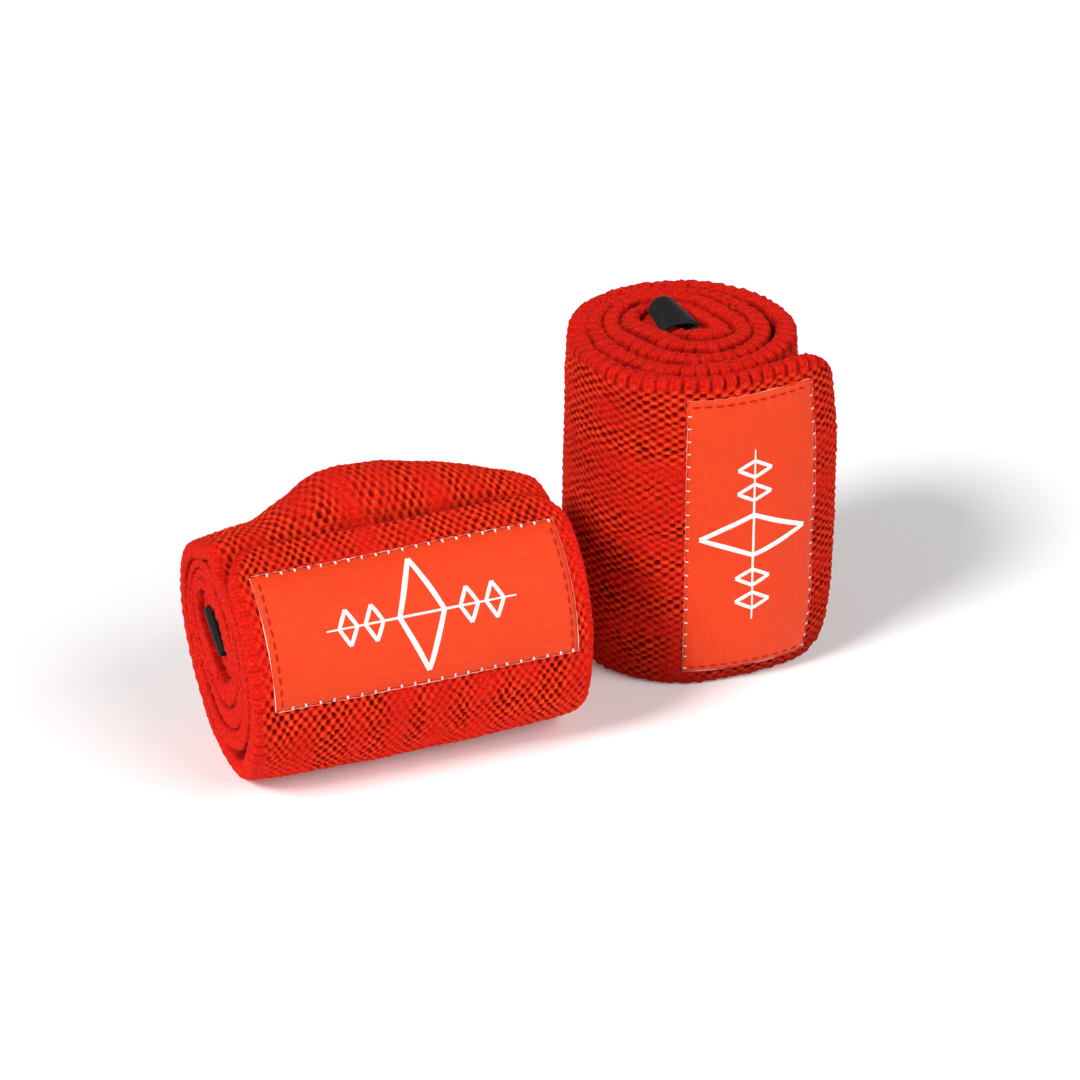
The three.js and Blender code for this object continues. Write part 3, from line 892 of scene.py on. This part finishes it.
    def needlework(self, body):
        """Ticks over the label's long edges, a thread round it, and seams along its short sides."""
        s0, s1, z0, z1 = self.label_box
        rng = np.random.RandomState(self.form.seed + 40)
        white, pale, red = [], [], []
        k = np.linspace(0, 1, 6)
        height = 0.10 + 0.10 * np.sin(np.pi * k) - 0.25 * (k > 0.9)
        for edge, side in ((s0, -1), (s1, 1)):
            zs = np.arange(z0 + 1.2, z1 - 0.8, TICK_PITCH)
            zs = zs + rng.uniform(-0.15, 0.15, len(zs))
            for z in zs:
                s = np.clip(edge + side * (TICK_OUT - TICK_LENGTH * k), s0 + 0.01, s1 - 0.01)
                white.append(self.on_label(s, z + rng.uniform(-0.2, 0.2) * k, height))
            linked = np.arange(z0 - 0.2, z1 + 0.2, THREAD_STEP)
            sway = 0.06 * np.sin(2 * np.pi * (linked - zs[0]) / TICK_PITCH)
            edge_s = edge + side * (THREAD_OUT + sway)
            pale.append(self.surface(edge_s, linked, np.full(len(linked), THREAD_HEIGHT)))
        k = np.linspace(0, 1, 7)
        height = 0.14 * np.sin(np.pi * k) ** 0.5 - 0.04
        for edge, side in ((z0, -1), (z1, 1)):
            ss = np.arange(s0 - 0.1, s1 + 0.1, THREAD_STEP)
            edge_z = np.full(len(ss), edge + side * THREAD_OUT)
            pale.append(self.surface(ss, edge_z, np.full(len(ss), THREAD_HEIGHT)))
            for a in np.arange(s0 + 1.0, s1 - 2.0, SEAM_PITCH):
                seam_z = np.full(len(k), edge - side * SEAM_INSET)
                red.append(self.on_label(a + SEAM_STITCH * k, seam_z, height))

        def patchy(line):
            """The thread shows here and there, and less on the label's long edges."""
            most = 0.4 if np.ptp(line @ self.axes[2]) > LABEL_WIDTH / 2 else 0.9
            patches = self.noise(line[:, 0] + line[:, 1], line[:, 2], 6.0, 41)
            return 0.3 + most * smoothstep(-0.1, 0.6, patches)

        ticks = tubes(self.name + "_edge_ticks", white, self.form.tick_radius, WHITE)
        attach(ticks, body)
        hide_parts(self.name + "_edge_stitch")
        link = tubes(self.name + "_edge_thread", pale, self.form.thread_radius, PALE, uneven=patchy)
        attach(link, body)
        seam = tubes(self.name + "_seam", red, SEAM_RADIUS, RED)
        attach(seam, body)
        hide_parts(self.name + "_label_seam")

    def tape(self, body):
        """The hook tape on the inner face: a backing with rows of small hooks."""
        s0 = self.form.label_start + TAPE_START
        s1 = s0 + TAPE_LENGTH
        z0, z1 = (WIDTH - TAPE_WIDTH) / 2, (WIDTH + TAPE_WIDTH) / 2
        s, z = np.arange(s0, s1 + 0.1, 1.0), np.arange(z0, z1 + 0.1, 1.0)
        inner = lambda S: -np.interp(S, self.s, self.thick)
        top = lambda S, _: inner(S) + 0.15
        under = lambda S, _: inner(S) - 0.35
        backing = self.patch(self.name + "_hook_backing", s, z, top, under, TAPE)
        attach(backing, body)
        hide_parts(self.name + "_hook_tape")
        rng = np.random.RandomState(self.form.seed + 60)
        s, z = np.arange(s0 + 0.8, s1 - 0.6, HOOK_PITCH), np.arange(z0 + 0.8, z1 - 0.6, HOOK_PITCH)
        S, Z = (a.ravel() for a in np.meshgrid(s, z, indexing="ij"))
        Z = Z + rng.uniform(-0.1, 0.1, len(Z))
        bend = np.array([0, 0.5, 1.0, 1.0, 0.75])
        lean = np.array([0, 0.0, 0.1, 0.38, 0.5])
        lines = []
        for k, (s, z) in enumerate(zip(S, Z)):
            way = 1.0 if k % 2 == 0 else -1.0
            height = inner(np.full(5, s)) - 0.3 - 0.5 * bend
            lines.append(self.surface(s + lean * way, np.full(5, z), height))
        hooks = tubes(self.name + "_hooks", lines, HOOK_RADIUS, TAPE, sides=4)
        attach(hooks, body)

    def strap(self, name, line, inside=(0.0, 0.0)):
        """A flat elastic strap. line(x), with x from -1 to 1 across it, is its path: (off the slit, z)."""
        form = self.form
        w = np.linspace(-1, 1, 33)
        section = np.array([(x, 1.0) for x in w] + [(x, -1.0) for x in w[::-1]])
        soft = np.sqrt(np.clip(1 - np.abs(section[:, 0]) ** 14, 0.02, 1))
        half = STRAP_WIDTH / 2
        columns = []
        for (x, side), round_off in zip(section, soft):
            path = np.asarray(line(x), float)
            d = directions(path)
            thick = STRAP_THICKNESS / 2 + 0.012 * math.cos(2 * math.pi * x * half / STRAP_RIB)
            off = path + np.stack([-d[:, 1], d[:, 0]], 1) * (thick * side * round_off)
            # from the core's slit over to where the loop stands in the mouth
            high = smoothstep(WIDTH - 6, WIDTH, path[:, 1])[:, None]
            angle = form.slit_angle * (1 - high[:, 0]) + form.loop.angle * high[:, 0]
            centre = np.array(form.core_centre) * (1 - high) + np.array(form.loop.centre) * high
            plan = centre + outward(angle) * x * half + outward(angle + 90) * off[:, :1]
            columns.append(np.concatenate([plan, off[:, 1:]], 1))
        points = np.stack(columns, 1)
        rows, n = points.shape[:2]
        corners, sizes, _ = closed_faces(rows, n)
        length = distances(np.asarray(line(0.0), float))
        uv = np.stack([np.repeat(length, n), np.tile(section[:, 0] * half, rows)], 1)
        # painted shade on the strap's inner and outer faces
        fields = {"inside": np.tile(np.where(section[:, 1] > 0, *inside), rows)}
        points = self.world(points.reshape(-1, 3))
        return mesh_object(name, points, corners, sizes, uv=uv, fields=fields, material=BLACK)

    def loop(self, roll, body):
        form = self.form.loop
        turn = np.linspace(0, np.pi, 33)

        def path(x):
            wide, high, base, tent = (a + b * x for a, b in (form.wide, form.high, form.base, form.tent))
            up = LOOP_FOOT + (base - LOOP_FOOT) * np.linspace(0, 1, 60)[:-1]
            flare = LEG_OFF + (wide - LEG_OFF) * smoothstep(base - form.neck, base + 0.3, up)
            leg = np.stack([flare, up], 1)
            across = wide * np.sign(np.cos(turn)) * np.abs(np.cos(turn)) ** tent
            arch = np.stack([across, base + high * np.sin(turn)], 1)
            return np.concatenate([leg, arch, leg[::-1] * [-1, 1]])

        loop = self.strap(self.name + "_strap_loop", path, form.inside)
        foot, mouth = self.world([[0, 0, LOOP_FOOT], [0, 0, WIDTH - 3.0]])
        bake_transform(loop)
        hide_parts(self.name + "_thumb_loop")

    def tails(self, roll):
        """The loop's two ends, flat against each other in the core, and the bar tack that holds them."""
        low = LOOP_FOOT - TAIL_LENGTH
        up = np.linspace(low, LOOP_FOOT, 24)
        for k, off in enumerate((-LEG_OFF, LEG_OFF)):
            tail = self.strap(self.name + f"_strap_tail_{k}", lambda _: [(off, z) for z in up])
            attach(tail, roll)
            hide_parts(self.name + "_loop_tail")
        slit, gap = outward(self.form.slit_angle), outward(self.form.slit_angle + 90)
        zig = np.linspace(-TACK_HALF_LENGTH, TACK_HALF_LENGTH, TACK_POINTS)
        proud = LEG_OFF + STRAP_THICKNESS / 2 + 0.12
        plan = np.array(self.form.core_centre) + slit * zig[:, None] + gap * proud
        rows = []
        for row in (-TACK_ROW, TACK_ROW):
            heights = (low + LOOP_FOOT) / 2 + row + TACK_SWING * (-1.0) ** np.arange(TACK_POINTS)
            rows.append(self.world(np.concatenate([plan, heights[:, None]], 1)))
        tack = tubes(self.name + "_bar_tack", rows, TACK_RADIUS, RED)
        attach(tack, roll)
        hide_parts(self.name + "_bartack")


standing, lying = Wrap(STANDING), Wrap(LYING)
standing.build()
lying.build()

# ------------------------------------------------------------
# Floor, light and camera
# ------------------------------------------------------------
FLOOR_HALF = 4000
floor_corners = [(x * FLOOR_HALF, y * FLOOR_HALF, 0) for x, y in ((-1, -1), (1, -1), (1, 1), (-1, 1))]
floor = mesh_object("floor", floor_corners, [[0, 1, 2, 3]], material=paper_material())

world = bpy.data.worlds.new("studio")
bpy.context.scene.world = world
world.use_nodes = True
world.node_tree.nodes["Background"].inputs["Color"].default_value = (1, 1, 1, 1)
world.node_tree.nodes["Background"].inputs["Strength"].default_value = 0.16


def toward(azimuth, elevation):
    """The way to something far off. Azimuth 0 is the front (-Y) and 90 the right."""
    a, e = math.radians(azimuth), math.radians(elevation)
    return Vector((math.sin(a) * math.cos(e), -math.cos(a) * math.cos(e), math.sin(e)))


def soft_sun(name, azimuth, elevation, spread, strength):
    data = bpy.data.lights.new(name, "SUN")
    data.angle, data.energy = math.radians(spread), strength
    ob = bpy.data.objects.new(name, data)
    bpy.context.scene.collection.objects.link(ob)
    ob.rotation_euler = toward(azimuth, elevation).to_track_quat("Z", "Y").to_euler()


soft_sun("key", azimuth=-50, elevation=42, spread=18, strength=2.8)
soft_sun("fill", azimuth=55, elevation=38, spread=40, strength=1.75)

CAMERA_DISTANCE = 0.9  # in metres, as Blender's units are
CAMERA_AIM = Vector((-0.0324, -0.02855, 0.0405))  # from the standing roll's foot to the picture's middle
FOCAL_WIDTHS = 3970 / 1080  # the focal length, in widths of the picture
SENSOR_WIDTH = 36

scene = bpy.context.scene
scene.view_settings.view_transform = "Standard"
camera_data = bpy.data.cameras.new("camera")
camera = bpy.data.objects.new("camera", camera_data)
scene.collection.objects.link(camera)
scene.camera = camera
camera_data.sensor_width = SENSOR_WIDTH
camera_data.lens = FOCAL_WIDTHS * SENSOR_WIDTH
camera_data.clip_start, camera_data.clip_end = 0.05, 50
back = toward(azimuth=-0.07, elevation=29.46)
camera.location = Vector(standing.origin * MM) + CAMERA_AIM + back * CAMERA_DISTANCE
camera.rotation_mode = "QUATERNION"
camera.rotation_quaternion = (-back).to_track_quat("-Z", "Y")

bpy.context.view_layer.update()
